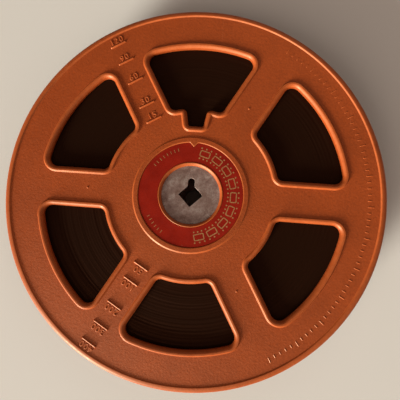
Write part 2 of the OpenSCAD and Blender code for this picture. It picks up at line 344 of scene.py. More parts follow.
def finished(name, bm, place, sharp):
    """Links a mesh as a smooth object with sharp edges past an angle."""
    bmesh.ops.recalc_face_normals(bm, faces=bm.faces)
    mesh = bpy.data.meshes.new(name)
    bm.to_mesh(mesh)
    bm.free()
    mesh.transform(place)
    mesh.polygons.foreach_set("use_smooth", [True] * len(mesh.polygons))
    mesh.set_sharp_from_angle(angle=math.radians(sharp))
    piece = bpy.data.objects.new(name, mesh)
    bpy.context.scene.collection.objects.link(piece)
    return piece


# Outlines of the windows and the notch, grown outwards by a margin for their lips.

def corner_turn(radius, offset):
    """Angle from +X of a corner's centre, at a distance from the middle line of the spoke beside it."""
    return 90 - FIRST_SPOKE + math.degrees(math.asin(offset / radius))


SIDE_NORMAL = FIRST_SPOKE - SPOKE_STEP
OUTER_CENTRE_R = WINDOW_OUTER_R - OUTER_CORNER_R
INNER_CENTRE_R = WINDOW_INNER_R + INNER_CORNER_R
OUTER_TURN = corner_turn(OUTER_CENTRE_R, SPOKE_HALF_W + OUTER_CORNER_R)
INNER_TURN = corner_turn(INNER_CENTRE_R, SPOKE_HALF_W + INNER_CORNER_R)
OUTER_CENTRE = polar(OUTER_CENTRE_R, OUTER_TURN)
INNER_CENTRE = polar(INNER_CENTRE_R, INNER_TURN)
NOTCH_LEAN = math.degrees(math.atan((NOTCH_MOUTH_W - NOTCH_FLOOR_W) / 2 / (WINDOW_INNER_R - NOTCH_R)))


def notch_and_arc(grow):
    """Right half of the inner edge of the notched window: floor, side, rounded mouth and arc."""
    lean = math.radians(NOTCH_LEAN)
    across = Vector((math.cos(lean), -math.sin(lean)))
    along = Vector((math.sin(lean), math.cos(lean)))
    side = across.dot(Vector((NOTCH_FLOOR_W / 2, NOTCH_R)))
    corner_y = NOTCH_R + NOTCH_CORNER_R
    corner_x = (side - NOTCH_CORNER_R - across.y * corner_y) / across.x
    floor = arc((corner_x, corner_y), NOTCH_CORNER_R + grow, -90, -NOTCH_LEAN, CORNER_STEPS)
    rounding = max(MOUTH_ROUND - grow, 0)
    out = max(MOUTH_ROUND, grow)
    mouth = across * (side + out) + along * math.sqrt((WINDOW_INNER_R - out) ** 2 - (side + out) ** 2)
    turn = math.degrees(math.atan2(mouth.y, mouth.x))
    rounded_mouth = arc(mouth, rounding, 180 - NOTCH_LEAN, turn, CORNER_STEPS)
    edge = arc((0, 0), WINDOW_INNER_R - grow, turn, INNER_TURN, ARC_STEPS // 2)
    return [(0, NOTCH_R - grow)] + floor + rounded_mouth + edge[1:]


def window_loop(grow, notched, turned):
    """Outline of one window, grown by a margin and turned to its place."""
    if notched:
        inner = notch_and_arc(grow)
    else:
        inner = arc((0, 0), WINDOW_INNER_R - grow, 90, INNER_TURN, ARC_STEPS)
    start, stop = INNER_TURN + 180, SIDE_NORMAL + 360
    inner_corner = arc(INNER_CENTRE, INNER_CORNER_R + grow, start, stop, CORNER_STEPS)
    outer_corner = arc(OUTER_CENTRE, OUTER_CORNER_R + grow, SIDE_NORMAL, OUTER_TURN, CORNER_STEPS)
    outer = arc((0, 0), WINDOW_OUTER_R + grow, OUTER_TURN, 90, ARC_STEPS)
    return clockwise(mirrored_loop(inner + inner_corner[1:] + outer_corner + outer[1:]), turned)


def rounded(run, rise, fullness=1.0):
    """Offsets and heights over a rounded edge, from its crest down to its foot.

    A fullness of 1 gives a quarter of an ellipse, and 2 would give a straight bevel.
    """
    turns = [math.radians(90 - 90 * i / FLANK_STEPS) for i in range(FLANK_STEPS + 1)]
    return [(run * math.cos(a) ** fullness, rise * math.sin(a) ** fullness) for a in turns]


def step_down(rise, degrees):
    """Offsets and heights down a bead's outer step: a tight crest, a steep slope and a small fillet."""
    slope = math.radians(degrees)
    turns = [slope * i / CORNER_STEPS for i in range(CORNER_STEPS + 1)]
    crest = [(CREST_ROUND * math.sin(a), rise - CREST_ROUND * (1 - math.cos(a))) for a in turns]
    fillet = [(-FOOT_ROUND * math.sin(a), FOOT_ROUND * (1 - math.cos(a))) for a in reversed(turns)]
    run = crest[-1][0] - fillet[0][0] + (crest[-1][1] - fillet[0][1]) / math.tan(slope)
    return crest + [(run + dr, dz) for dr, dz in fillet]


def rim_rings(shell):
    """The rim, from its edge at the inner face, up the outside and over its round to the plate."""
    low = FLANGE_T + RIM_BEAD_H - RIM_ROUND_H
    round_over = reversed(rounded(RIM_R - RIM_CREST_R, RIM_ROUND_H))
    inside = step_down(RIM_BEAD_H, RIM_SLOPE)
    profile = [
        *[(RIM_R - EDGE_ROUND * dr, EDGE_ROUND * dz, wear) for dr, dz, wear in RIM_EDGE],
        *[(RIM_CREST_R + dr, low + dz, RIM_WEAR_AND_HIGHLIGHT) for dr, dz in round_over],
        *[(RIM_CREST_R - dr, FLANGE_T + dz, CREST_WEAR_AND_HIGHLIGHT) for dr, dz in inside[1:]],
        (RIM_CREST_R - inside[-1][0] - SUPPORT, FLANGE_T, 0),
    ]
    return shell.lathe(profile, RIM_STEPS)


def window_rings(shell, index):
    """A window's wall and lip, from the inner face up, over the crest and down to the plate."""
    wall_top = FLANGE_T + LIP_H - LIP_ROUND_H
    crest_in = LIP_LEDGE + LIP_ROUND_W
    crest_out = crest_in + LIP_FLAT
    rise = reversed(rounded(LIP_ROUND_W, LIP_ROUND_H, LIP_FULLNESS))
    down = step_down(LIP_H, LIP_SLOPE)
    profile = [
        *[(EDGE_ROUND * dg, EDGE_ROUND * dz, wear) for dg, dz, wear in WINDOW_EDGE],
        *[(LIP_LEDGE * dg, wall_top + LIP_LEDGE * dz, wear) for dg, dz, wear in LEDGE_EDGE],
        *[(crest_in - dg, wall_top + dz, CREST_WEAR_AND_HIGHLIGHT) for dg, dz in rise],
        *[(crest_out + dg, FLANGE_T + dz, CREST_WEAR_AND_HIGHLIGHT) for dg, dz in down],
        (crest_out + down[-1][0] + SUPPORT, FLANGE_T, 0),
    ]
    rings = []
    for grow, z, wear in profile:
        rings.append(shell.ring(window_loop(grow, index == 0, index * SPOKE_STEP), z, wear))
    return shell.loft(rings)


def label_edge(grow):
    """Outer edge of the label or its recess, with the V of the pointer on +Y."""
    radius = LABEL_OUTER_R + grow
    slope = POINTER_W / 2 / POINTER_DEPTH
    tip = LABEL_OUTER_R - POINTER_DEPTH + grow * math.hypot(1, slope) / slope
    half = (radius - tip) * slope
    start = math.degrees(math.asin(half / radius))
    # The tip and the middle of the V's side; the arc begins at the side's end.
    side = [(half * t, tip + (radius * math.cos(math.radians(start)) - tip) * t) for t in (0, 0.5)]
    return mirrored_loop(side + arc((0, 0), radius, 90 - start, -90, HUB_STEPS // 2))


def seat_edge(grow):
    """Outline of a plate's seat: a circle with the tab's pocket on -Y."""
    radius = PLATE_R + grow
    half = TAB_W / 2 + grow
    start = math.degrees(math.asin(half / radius))
    bottom = -PLATE_R - TAB_REACH - grow
    pocket = [(0, bottom), (half, bottom)]
    return mirrored_loop(pocket + arc((0, 0), radius, -90 + start, 90, HUB_STEPS // 2))


def screw_places():
    """Centres of the screws, on every other spoke."""
    return [clockwise([(0, SCREW_CIRCLE_R)], FIRST_SPOKE + i * SCREW_STEP)[0] for i in range(SCREWS)]


def hub_rings(shell):
    """The hub: bead, label recess with its pointer, collar, plate seat, screw holes and spigot."""
    top = FLANGE_T + HUB_BEAD_H
    down = step_down(HUB_BEAD_H, HUB_SLOPE)
    bead = shell.lathe([
        (HUB_CREST_R + down[-1][0] + SUPPORT, FLANGE_T, 0),
        *[(HUB_CREST_R + dr, FLANGE_T + dz, CREST_WEAR_AND_HIGHLIGHT) for dr, dz in reversed(down)],
        (HUB_CREST_R - SUPPORT, top, 0),
    ], HUB_STEPS)
    recess = [shell.ring(label_edge(SEAT_GAP + HUB_ROUND_W + SUPPORT), top)]
    # The recess shoulder is painted pale: wear, and a painted highlight on its edge.
    for dr, dz in rounded(HUB_ROUND_W, HUB_ROUND_H):
        outline = label_edge(SEAT_GAP + HUB_ROUND_W - dr)
        recess.append(shell.ring(outline, top - HUB_ROUND_H + dz, CREST_WEAR_AND_HIGHLIGHT))
    recess.append(shell.ring(label_edge(SEAT_GAP), WEB_T))
    shell.loft(recess)
    shell.fill(bead[-1], recess[0])

    collar_out = LABEL_INNER_R - SEAT_GAP
    collar_crest = collar_out - COLLAR_SHOULDER
    collar_top = FLANGE_T + COLLAR_RISE
    shoulder = reversed(rounded(COLLAR_SHOULDER, COLLAR_SHOULDER))
    fall = rounded(collar_crest - OPENING_R, COLLAR_DROP, COLLAR_FULLNESS)
    # The collar is painted pale all over: wear, and a painted highlight on its slopes.
    collar = shell.lathe([
        (collar_out, WEB_T, CREST_WEAR_AND_HIGHLIGHT),
        *[(collar_crest + dr, collar_top - COLLAR_SHOULDER + dz, CREST_WEAR_AND_HIGHLIGHT) for dr, dz in shoulder],
        *[(collar_crest - dr, collar_top - COLLAR_DROP + dz, CREST_WEAR_AND_HIGHLIGHT) for dr, dz in fall[1:]],
        (OPENING_R, PLATE_SEAT, CREST_WEAR_AND_HIGHLIGHT),
    ], HUB_STEPS)
    seat = shell.loft([shell.ring(seat_edge(SEAT_GAP), z) for z in (PLATE_SEAT, 0)])
    shell.fill(collar[-1], seat[0])

    spigot_r = CORE_R - CORE_WALL - SEAT_GAP
    spigot = shell.lathe([
        (spigot_r, 0, 0),
        (spigot_r, -SPIGOT_H, 0),
        (spigot_r - SPIGOT_WALL, -SPIGOT_H, 0),
        (spigot_r - SPIGOT_WALL, 0, 0),
    ], HUB_STEPS)
    holes = []
    for place in screw_places():
        head = circle(HEAD_R + SCREW_GAP, HOLE_STEPS, place)
        shank = circle(SHANK_R + SCREW_GAP, HOLE_STEPS, place)
        holes.append(shell.loft([
            shell.ring(head, WEB_T),
            shell.ring(shank, WEB_T - HEAD_R + SHANK_R),
            shell.ring(shank, 0),
        ]))
    shell.fill(recess[-1], collar[0], *[hole[0] for hole in holes])
    shell.fill(seat[-1], spigot[-1], *[hole[-1] for hole in holes])
    return bead[0], spigot[0]


def make_flange(name, place):
    """One moulded flange as a closed shell."""
    shell = Shell()
    rim = rim_rings(shell)
    windows = [window_rings(shell, i) for i in range(SPOKES)]
    hub_top, hub_bottom = hub_rings(shell)
    shell.fill(rim[-1], hub_top, *[window[-1] for window in windows])
    shell.fill(rim[0], hub_bottom, *[window[0] for window in windows])
    return shell.object(name, place)


# Raised marks: scale bars, numbers, gate marks and a row of small ticks.

def bar_outline(centre_r, half_len, half_w, turned):
    """Outline of a bar that lies across the radius, with rounded ends."""
    corner = min(half_len, half_w) * BAR_CORNER
    return rounded_box(centre_r, half_len, half_w, corner, BAR_CORNER_STEPS, turned)


def add_bar(shell, radius, length, width, height, turned):
    """A small raised bar with a rounded top, rooted in the plate."""
    lesser = min(length, width)
    levels = [(0, -MARK_ROOT)] + [(lesser * inset, height * rise) for inset, rise in BAR_SECTION]
    rings = []
    for inset, z in levels:
        outline = bar_outline(radius, length / 2 - inset, width / 2 - inset, turned)
        # The whole bar is painted pale: wear, and a painted highlight on its slopes.
        rings.append(shell.ring(outline, FLANGE_T + z, CREST_WEAR_AND_HIGHLIGHT))
    shell.capped(rings)


def add_gate(shell, turned):
    """The stub that a moulding gate leaves: a low dome with a dented top."""
    centre = clockwise([(0, GATE_R)], turned)[0]
    rings = []
    for share, z in GATE_SECTION:
        # The gate mark is painted pale: wear, and a painted highlight.
        rings.append(shell.ring(circle(GATE_D / 2 * share, GATE_STEPS, centre), FLANGE_T + z, CREST_WEAR_AND_HIGHLIGHT))
    shell.capped(rings)


def wound_radius(metres):
    """Radius of the roll when that length of film is on the core."""
    return math.sqrt(CORE_R ** 2 + metres * FILM_T / math.pi)


def number_mesh(text):
    """A raised number that stands on its own baseline, centred, as a mesh in millimetres."""
    curve = bpy.data.curves.new("number", "FONT")
    curve.body = text
    curve.size = NUMBER_H * TYPE_SIZE / MM
    curve.align_x = "CENTER"
    curve.space_character = NUMBER_SPACING
    curve.extrude = ((NUMBER_RISE + MARK_ROOT) / 2 - NUMBER_SOFT) / MM
    curve.bevel_depth = NUMBER_SOFT / MM
    curve.bevel_resolution = NUMBER_SOFT_STEPS
    curve.offset = -NUMBER_THINNING / MM
    curve.resolution_u = NUMBER_CURVE_STEPS
    holder = bpy.data.objects.new("number", curve)
    bpy.context.scene.collection.objects.link(holder)
    mesh = bpy.data.meshes.new_from_object(holder.evaluated_get(bpy.context.evaluated_depsgraph_get()))
    bpy.data.objects.remove(holder)
    bpy.data.curves.remove(curve)
    return mesh


def add_number(shell, text, radius, turned):
    """A raised number that stands on its bar."""
    mesh = number_mesh(text)
    turn = Matrix.Rotation(math.radians(-turned), 4, "Z")
    middle = FLANGE_T + (NUMBER_RISE - MARK_ROOT) / 2
    lift = Matrix.Translation((0, (radius + NUMBER_LIFT) / MM, middle / MM))
    mesh.transform(turn @ lift)
    known = len(shell.bm.verts)
    shell.bm.from_mesh(mesh)
    bpy.data.meshes.remove(mesh)
    # Numbers are painted pale: wear, and a painted highlight on their strokes.
    for vert in list(shell.bm.verts)[known:]:
        vert[shell.wear] = CREST_WEAR_AND_HIGHLIGHT


def make_marks(name, place):
    """Scale bars with their numbers, gate marks, and a row of fine ticks along the rim."""
    shell = Shell()
    scales = (
        (METRE_SPOKE, METRE_MARKS, 1.0),
        (FEET_SPOKE, FEET_MARKS, METRES_PER_FOOT),
    )
    for spoke, marks, unit in scales:
        for mark in marks:
            radius = wound_radius(mark * unit)
            add_bar(shell, radius, BAR_LEN, BAR_W, BAR_H, spoke)
            add_number(shell, str(mark), radius, spoke)
    for i in range(SCREWS):
        add_gate(shell, FIRST_SPOKE + i * SCREW_STEP)
    for i in range(TICK_COUNT):
        length = TICK_LEN if i % LONG_TICK_EVERY else LONG_TICK_LEN
        add_bar(shell, TICK_R + length / 2, TICK_W, length, TICK_H, TICK_FROM + i * TICK_STEP)
    return shell.object(name, place)


# Label ring and its print.

def make_label(name, place):
    """A thin ring with soft upper edges."""
    shell = Shell()
    top = WEB_T + LABEL_T

    def edge(outline):
        return shell.loft([
            shell.ring(outline(0), WEB_T),
            shell.ring(outline(0), top - LABEL_SOFT),
            shell.ring(outline(-LABEL_SOFT), top),
        ])

    outer = edge(label_edge)
    inner = edge(lambda grow: circle(LABEL_INNER_R - grow, HUB_STEPS))
    shell.fill(outer[0], inner[0])
    shell.fill(outer[-1], inner[-1])
    return shell.object(name, place)


def frame_outline(inset, turned):
    """Rounded picture frame on the label ring."""
    corner = max(PRINT_CORNER - inset, PRINT_CORNER_LEAST)
    half_w, half_h = PRINT_FRAME_W / 2 - inset, PRINT_FRAME_H / 2 - inset
    return rounded_box(PRINT_R, half_w, half_h, corner, PRINT_CORNER_STEPS, turned)


def make_print(name, place):
    """A strip of picture frames with holes along both sides, and two rows of strokes by the scales."""
    shell = Shell()
    low = WEB_T + LABEL_T
    high = low + PRINT_T

    def add_patch(outline):
        shell.capped([shell.ring(outline, z) for z in (low, high)])

    for i in range(PRINT_COUNT):
        turned = PRINT_FROM + i * PRINT_STEP
        section = ((0, low), (0, high), (PRINT_LINE, high), (PRINT_LINE, low))
        rings = [shell.ring(frame_outline(inset, turned), z) for inset, z in section]
        shell.loft(rings + rings[:1])
        for off in (-PRINT_HOLE_OFF, PRINT_HOLE_OFF):
            for aside in PRINT_HOLE_TURNS:
                add_patch(bar_outline(PRINT_R + off, PRINT_HOLE / 2, PRINT_HOLE / 2, turned + aside))
    for start, count in STROKE_ROWS:
        for i in range(count):
            add_patch(bar_outline(STROKE_R, STROKE_W / 2, STROKE_LEN / 2, start + i * STROKE_STEP))
    return shell.object(name, place)


# Film: the wound pack and the outer turns.

def turn_depths(rng, count):
    """Depths of the edges of the turns, which drift slowly, with a few turns that stand proud."""
    depths = []
    level = DEPTH_START
    for _ in range(count):
        level = min(max(level + rng.uniform(-DEPTH_DRIFT, DEPTH_DRIFT), DEPTH_LEAST), DEPTH_MOST)
        depths.append(level + rng.uniform(-DEPTH_JITTER, DEPTH_JITTER))
    for proud in rng.sample(range(PROUD_FROM, count - 1 - PROUD_BEFORE_END), PROUD_TURNS):
        depths[proud] = max(depths[proud] - PROUD_RISE, PROUD_DEPTH)
    return depths


def make_film_pack(name):
    """The wound film: turns whose edges stand a little in or out, as on a real roll."""
    rng = random.Random(PACK_SEED)
    last = int((PACK_R - PACK_BORE_R) / PACK_SPACING)
    depths = turn_depths(rng, last + 1)
    phases = [rng.uniform(0, 2 * math.pi) for _ in depths]
    shell = Shell()

    def side_ring(i, sign):
        radius = PACK_BORE_R + (PACK_R - PACK_BORE_R) * i / last
        ring = shell.ring(circle(radius, PACK_STEPS), 0)
        waves = 1 + i % SWAY_KINDS
        for k, vert in enumerate(ring):
            sway = SWAY * math.sin(2 * math.pi * k / PACK_STEPS * waves + phases[i])
            vert.co.z = sign * (FILM_W / 2 / MM - max(depths[i] + sway, 0))
        return ring

    top = shell.loft([side_ring(i, 1) for i in range(last + 1)])
    bottom = shell.loft([side_ring(i, -1) for i in range(last + 1)])
    shell.bridge(top[0], bottom[0])
    shell.bridge(top[-1], bottom[-1])
    return shell.object(name, AT_MIDDLE, PACK_SHARP)


def make_film_turns(name):
    """The outer turns of the film: one strip with holes along both edges, wound in a spiral."""
    length_angle = OUTER_TURNS * 2 * math.pi
    mean_r = TURN_START_R + OUTER_TURNS * TURN_PITCH / 2
    cells = round(length_angle * mean_r / FRAME_PITCH)
    half = FILM_W / 2
    hole_out = half - PERF_MARGIN
    hole_in = half - PERF_MARGIN - PERF_ACROSS
    # Places across the film: its edges, both sides of the holes, and two that divide the middle.
    across = [-half, -hole_out, -hole_in, -half / 4, half / 4, hole_in, hole_out, half]
    hole_columns = (across.index(-hole_out), across.index(hole_in))
    # Places along one pitch, as shares of it, with the hole in the middle.
    hole_half = PERF_ALONG / FRAME_PITCH / 2
    along = [0, 0.25, 0.5 - hole_half, 0.5 + hole_half, 0.75]
    hole_row = along.index(0.5 - hole_half)
    stations = [cell + a for cell in range(cells) for a in along] + [cells]
    rows, columns = len(stations) - 1, len(across) - 1
    bm = bmesh.new()
    uv = bm.loops.layers.uv.new("UVMap")

    def layer(offset):
        grid = []
        for station in stations:
            a = length_angle * station / cells
            radius = TURN_START_R + TURN_PITCH * a / (2 * math.pi) + offset
            grid.append([bm.verts.new((radius * math.cos(a), radius * math.sin(a), z)) for z in across])
        return grid

    def solid(i, j):
        hole = i % len(along) == hole_row and j in hole_columns
        return 0 <= i < rows and 0 <= j < columns and not hole

    def face(verts, places):
        made = bm.faces.new(verts)
        for loop, place in zip(made.loops, places):
            loop[uv].uv = place

    # Neighbours of a cell: their steps in row and column, and the corners of the side between.
    sides = ((0, -1, 0, 1), (1, 0, 1, 2), (0, 1, 2, 3), (-1, 0, 3, 0))
    inner, outer = layer(0), layer(FILM_T)
    for i in range(rows):
        for j in range(columns):
            if not solid(i, j):
                continue
            corners = [(i, j), (i + 1, j), (i + 1, j + 1), (i, j + 1)]
            places = [(stations[a], across[b] / FILM_W + 0.5) for a, b in corners]
            face([outer[a][b] for a, b in corners], places)
            face([inner[a][b] for a, b in reversed(corners)], list(reversed(places)))
            for di, dj, p, q in sides:
                if not solid(i + di, j + dj):
                    (a, b), (c, d) = corners[p], corners[q]
                    face(
                        [outer[c][d], outer[a][b], inner[a][b], inner[c][d]],
                        [places[q], places[p], places[p], places[q]],
                    )
    return finished(name, bm, AT_MIDDLE, STRIP_SHARP)


# Materials. Scales of textures are in cells per metre, or per frame where they follow the film strip.
# Ramps have stops of position and value.

def srgb(red, green, blue):
    """Linear colour from screen values of 0 to 255."""
    values = []
    for value in (red, green, blue):
        c = value / 255
        values.append(c / 12.92 if c <= 0.04045 else ((c + 0.055) / 1.055) ** 2.4)
    return (*values, 1.0)


class Look:
    """A material, with short calls that add nodes and link them."""

    def __init__(self, name, **sockets):
        self.material = bpy.data.materials.new(name)
        self.material.use_nodes = True
        self.tree = self.material.node_tree
        self.shader = self.tree.nodes["Principled BSDF"]
        for socket, value in sockets.items():
            self.shader.inputs[socket.replace("_", " ")].default_value = value
        self.place = self.add("ShaderNodeTexCoord").outputs["Object"]

    def add(self, kind, inputs=(), **settings):
        node = self.tree.nodes.new(kind)
        for key, value in settings.items():
            setattr(node, key, value)
        for key, value in dict(inputs).items():
            if isinstance(value, bpy.types.NodeSocket):
                self.tree.links.new(value, node.inputs[key])
            else:
                node.inputs[key].default_value = value
        return node

    def to_shader(self, socket, value):
        self.tree.links.new(value, self.shader.inputs[socket])

    def noise(self, scale, detail=2.0, roughness=0.5, place=None):
        inputs = {"Vector": place or self.place, "Scale": scale, "Detail": detail, "Roughness": roughness}
        return self.add("ShaderNodeTexNoise", inputs).outputs[0]

    def mapped(self, place, scale, turned=0.0):
        """A place that is turned about Z and scaled along its axes."""
        inputs = {"Vector": place, "Rotation": (0.0, 0.0, math.radians(turned)), "Scale": scale}
        return self.add("ShaderNodeMapping", inputs).outputs[0]

    def math(self, operation, first, second=0.0):
        return self.add("ShaderNodeMath", {0: first, 1: second}, operation=operation).outputs[0]

    def ramp(self, value, *stops):
        """A ramp of colours or greys."""
        node = self.add("ShaderNodeValToRGB", {"Fac": value})
        elements = node.color_ramp.elements
        while len(elements) < len(stops):
            elements.new(1.0)
        for element, (position, colour) in zip(elements, stops):
            element.position = position
            element.color = colour if isinstance(colour, tuple) else (colour, colour, colour, 1.0)
        return node.outputs[0]

    def mix(self, share, first, second):
        node = self.add("ShaderNodeMix", {0: share, 6: first, 7: second}, data_type="RGBA")
        return node.outputs[2]

    def bump(self, height, distance, strength, normal=None):
        inputs = {"Height": height, "Distance": distance, "Strength": strength}
        if normal is not None:
            inputs["Normal"] = normal
        return self.add("ShaderNodeBump", inputs).outputs[0]


# Share of a speck's size that it covers fully, and scale of scratches along their way.
SPECK_CORE = 0.6
HAIRLINE_STRETCH = 0.03


def specks(look, scale, size, share):
    """Sparse round dust specks, as a share from 0 to 1."""
    cells = look.add("ShaderNodeTexVoronoi", {"Vector": look.place, "Scale": scale})
    near = look.ramp(cells.outputs["Distance"], (size * SPECK_CORE, 1.0), (size, 0.0))
    chosen = look.math("LESS_THAN", cells.outputs["Color"], share)
    return look.math("MULTIPLY", near, chosen)


def hairlines(look, turned, scale):
    """Fine scratches that run one way."""
    stretched = look.mapped(look.place, (1.0, HAIRLINE_STRETCH, 1.0), turned)
    return look.ramp(look.noise(scale, detail=2, place=stretched), (0.70, 0.0), (0.74, 1.0))


ORANGE_DEEP = srgb(156, 65, 22)
ORANGE_BRIGHT = srgb(172, 73, 26)
ORANGE_GRAIN = srgb(118, 45, 13)
ORANGE_RUBBED_HIGHLIGHT = srgb(208, 110, 56)
ORANGE_SCRATCH = srgb(190, 104, 60)
ORANGE_DUST = srgb(214, 176, 140)
ORANGE_SHINE = srgb(255, 234, 194)
SCRATCH_SHARE = 0.2
CREST_POLISH = 0.03
GRAIN_DEPTH = 0.22 * MM
PEEL_DEPTH = 0.1 * MM
RELIEF = 0.5


def orange_plastic():
    """Moulded plastic: fine grain, faint flow clouds, crests rubbed pale and smooth with a painted highlight
    in that paleness, scratches and dust.
    """
    look = Look("orange_plastic", IOR=1.5, Specular_IOR_Level=0.6, Specular_Tint=ORANGE_SHINE)
    grain = look.noise(950, detail=4, roughness=0.65)
    base = look.ramp(look.noise(55, detail=3), (0.3, ORANGE_DEEP), (0.7, ORANGE_BRIGHT))
    speckled = look.mix(look.ramp(grain, (0.38, 0.0), (0.72, 0.4)), base, ORANGE_GRAIN)
    wear = look.add("ShaderNodeAttribute", attribute_name="wear").outputs["Fac"]
    crest = look.ramp(wear, (0.6, 0.0), (1.0, 1.0))
    patches = look.ramp(look.noise(420, detail=4, roughness=0.7), (0.3, 0.1), (0.7, 0.38))
    # Crests are painted paler: real rubbing, and a painted highlight that stands in for the light they
    # catch.
    rubbed_and_highlit = look.mix(look.math("MULTIPLY", crest, patches), speckled, ORANGE_RUBBED_HIGHLIGHT)
    lines = look.math("MULTIPLY", hairlines(look, turned=35, scale=900), SCRATCH_SHARE)
    scratched = look.mix(lines, rubbed_and_highlit, ORANGE_SCRATCH)
    dust = specks(look, scale=130, size=0.035, share=0.12)
    look.to_shader("Base Color", look.mix(dust, scratched, ORANGE_DUST))
    rough = look.ramp(look.noise(700, detail=3), (0.3, 0.46), (0.7, 0.56))
    polish = look.math("MULTIPLY", crest, CREST_POLISH)
    look.to_shader("Roughness", look.math("SUBTRACT", rough, polish))
    relief = look.math("MULTIPLY", look.math("SUBTRACT", 1.0, crest), RELIEF)
    fine = look.bump(grain, GRAIN_DEPTH, relief)
    look.to_shader("Normal", look.bump(look.noise(320, detail=3), PEEL_DEPTH, relief, fine))
    return look.material


RED_DEEP = srgb(130, 25, 13)
RED_BRIGHT = srgb(152, 33, 18)
RED_WORN = srgb(104, 26, 16)
RED_DUST = srgb(206, 140, 112)
LABEL_RIPPLE = 0.03 * MM


def red_label():
    """Glossy red print on a thin ring, with faint mottling and dust specks."""
    look = Look("red_label", IOR=1.48, Specular_IOR_Level=0.28)
    tone = look.ramp(look.noise(90, detail=4, roughness=0.6), (0.3, RED_DEEP), (0.7, RED_BRIGHT))
    patches = look.ramp(look.noise(700, detail=4, roughness=0.7), (0.6, 0.0), (0.75, 0.35))
    worn = look.mix(patches, tone, RED_WORN)
    dust = specks(look, scale=420, size=0.06, share=0.2)
    look.to_shader("Base Color", look.mix(dust, worn, RED_DUST))
    rough = look.ramp(look.noise(600, detail=4, roughness=0.7), (0.3, 0.2), (0.75, 0.38))
    look.to_shader("Roughness", rough)
    look.to_shader("Normal", look.bump(look.noise(250, detail=3), LABEL_RIPPLE, strength=0.4))
    return look.material


INK_THIN = srgb(138, 78, 42)
INK_FULL = srgb(166, 118, 70)


def beige_print():
    """Beige ink, worn thin in places."""
    look = Look("beige_print")
    ink = look.ramp(look.noise(1200, detail=4, roughness=0.7), (0.3, INK_THIN), (0.6, INK_FULL))
    look.to_shader("Base Color", ink)
    look.to_shader("Roughness", look.ramp(look.noise(700, detail=2), (0.3, 0.45), (0.7, 0.65)))
    return look.material


PLATE_DARK = srgb(124, 98, 90)
PLATE_MID = srgb(157, 131, 123)
PLATE_PALE = srgb(190, 170, 162)
PLATE_STAIN = srgb(118, 86, 72)
PLATE_PIT = srgb(74, 60, 52)
PIT_DEPTH = 0.03 * MM


def plate_steel():
    """Plated steel, mottled and tarnished, with fine pits."""
    look = Look("plate_steel", Metallic=0.6)
    mottle = look.noise(240, detail=6, roughness=0.7)
    tone = look.ramp(mottle, (0.32, PLATE_DARK), (0.48, PLATE_MID), (0.62, PLATE_PALE))
    stain = look.ramp(look.noise(110, detail=4, roughness=0.6), (0.48, 0.0), (0.66, 0.7))
    stained = look.mix(stain, tone, PLATE_STAIN)
    pits = look.ramp(look.noise(2400, detail=2), (0.32, 0.6), (0.42, 0.0))
    look.to_shader("Base Color", look.mix(pits, stained, PLATE_PIT))
    look.to_shader("Roughness", look.ramp(mottle, (0.3, 0.62), (0.7, 0.42)))
    grain = look.noise(1300, detail=3, roughness=0.6)
    look.to_shader("Normal", look.bump(grain, PIT_DEPTH, strength=0.6))
    return look.material


STEEL_DARK = srgb(150, 146, 140)
STEEL_PALE = srgb(184, 180, 172)


def screw_steel():
    """Plain steel, slightly uneven in tone and gloss."""
    look = Look("screw_steel", Metallic=1.0)
    tone = look.ramp(look.noise(900, detail=3), (0.3, STEEL_DARK), (0.7, STEEL_PALE))
    look.to_shader("Base Color", tone)
    look.to_shader("Roughness", look.ramp(look.noise(1600, detail=2), (0.3, 0.3), (0.7, 0.48)))
    return look.material


EDGE_DARK = srgb(26, 13, 7)
EDGE_MID = srgb(35, 18, 10)
EDGE_PALE = srgb(48, 29, 18)
EDGE_SHADE = srgb(21, 11, 6)
EDGE_SHINE = srgb(230, 140, 90)
RING_DRIFT = 0.6 * MM
RING_DEPTH = 0.05 * MM


def ring_place(look):
    """Place for textures that run round the roll: the distance from the axis, with a slow drift."""
    flat = look.add("ShaderNodeVectorMath", {0: look.place, 1: (1.0, 1.0, 0.0)}, operation="MULTIPLY")
    radius = look.add("ShaderNodeVectorMath", {0: flat.outputs[0]}, operation="LENGTH").outputs["Value"]
    drift = look.math("MULTIPLY", look.noise(14, detail=2), RING_DRIFT)
    return look.add("ShaderNodeCombineXYZ", {"X": look.math("ADD", radius, drift)}).outputs[0]


def film_edges():
    """Edges of wound film: dark brown with fine rings and faint changes round the roll."""
    look = Look("film_edges", IOR=1.48, Specular_IOR_Level=0.22, Specular_Tint=EDGE_SHINE)
    rings = ring_place(look)
    fine = look.noise(6000, detail=2, roughness=0.6, place=rings)
    broad = look.noise(500, detail=3, roughness=0.6, place=rings)
    tone = look.ramp(fine, (0.3, EDGE_DARK), (0.6, EDGE_MID), (0.78, EDGE_PALE))
    shade = look.ramp(broad, (0.35, 0.35), (0.65, 0.0))
    look.to_shader("Base Color", look.mix(shade, tone, EDGE_SHADE))
    look.to_shader("Roughness", look.ramp(broad, (0.3, 0.52), (0.7, 0.36)))
    look.to_shader("Normal", look.bump(fine, RING_DEPTH, strength=0.4))
    return look.material


PICTURE_DARK = srgb(32, 19, 12)
PICTURE_PALE = srgb(54, 36, 25)
MARGIN_DARK = srgb(20, 11, 7)
MARGIN_PALE = srgb(25, 14, 9)
FILM_SCRATCH = srgb(92, 70, 54)
# Half width of the line between frames, as a share of the pitch, and half height of a picture, as a
# share of the film's width.
FRAME_LINE_HALF = 0.035
PICTURE_HALF_H = 0.31
# Cells of the scratches for one frame along the film, and across its whole width.
SCRATCH_CELLS = (0.12, 90.0, 1.0)
SCRATCH_DEPTH = 0.01 * MM


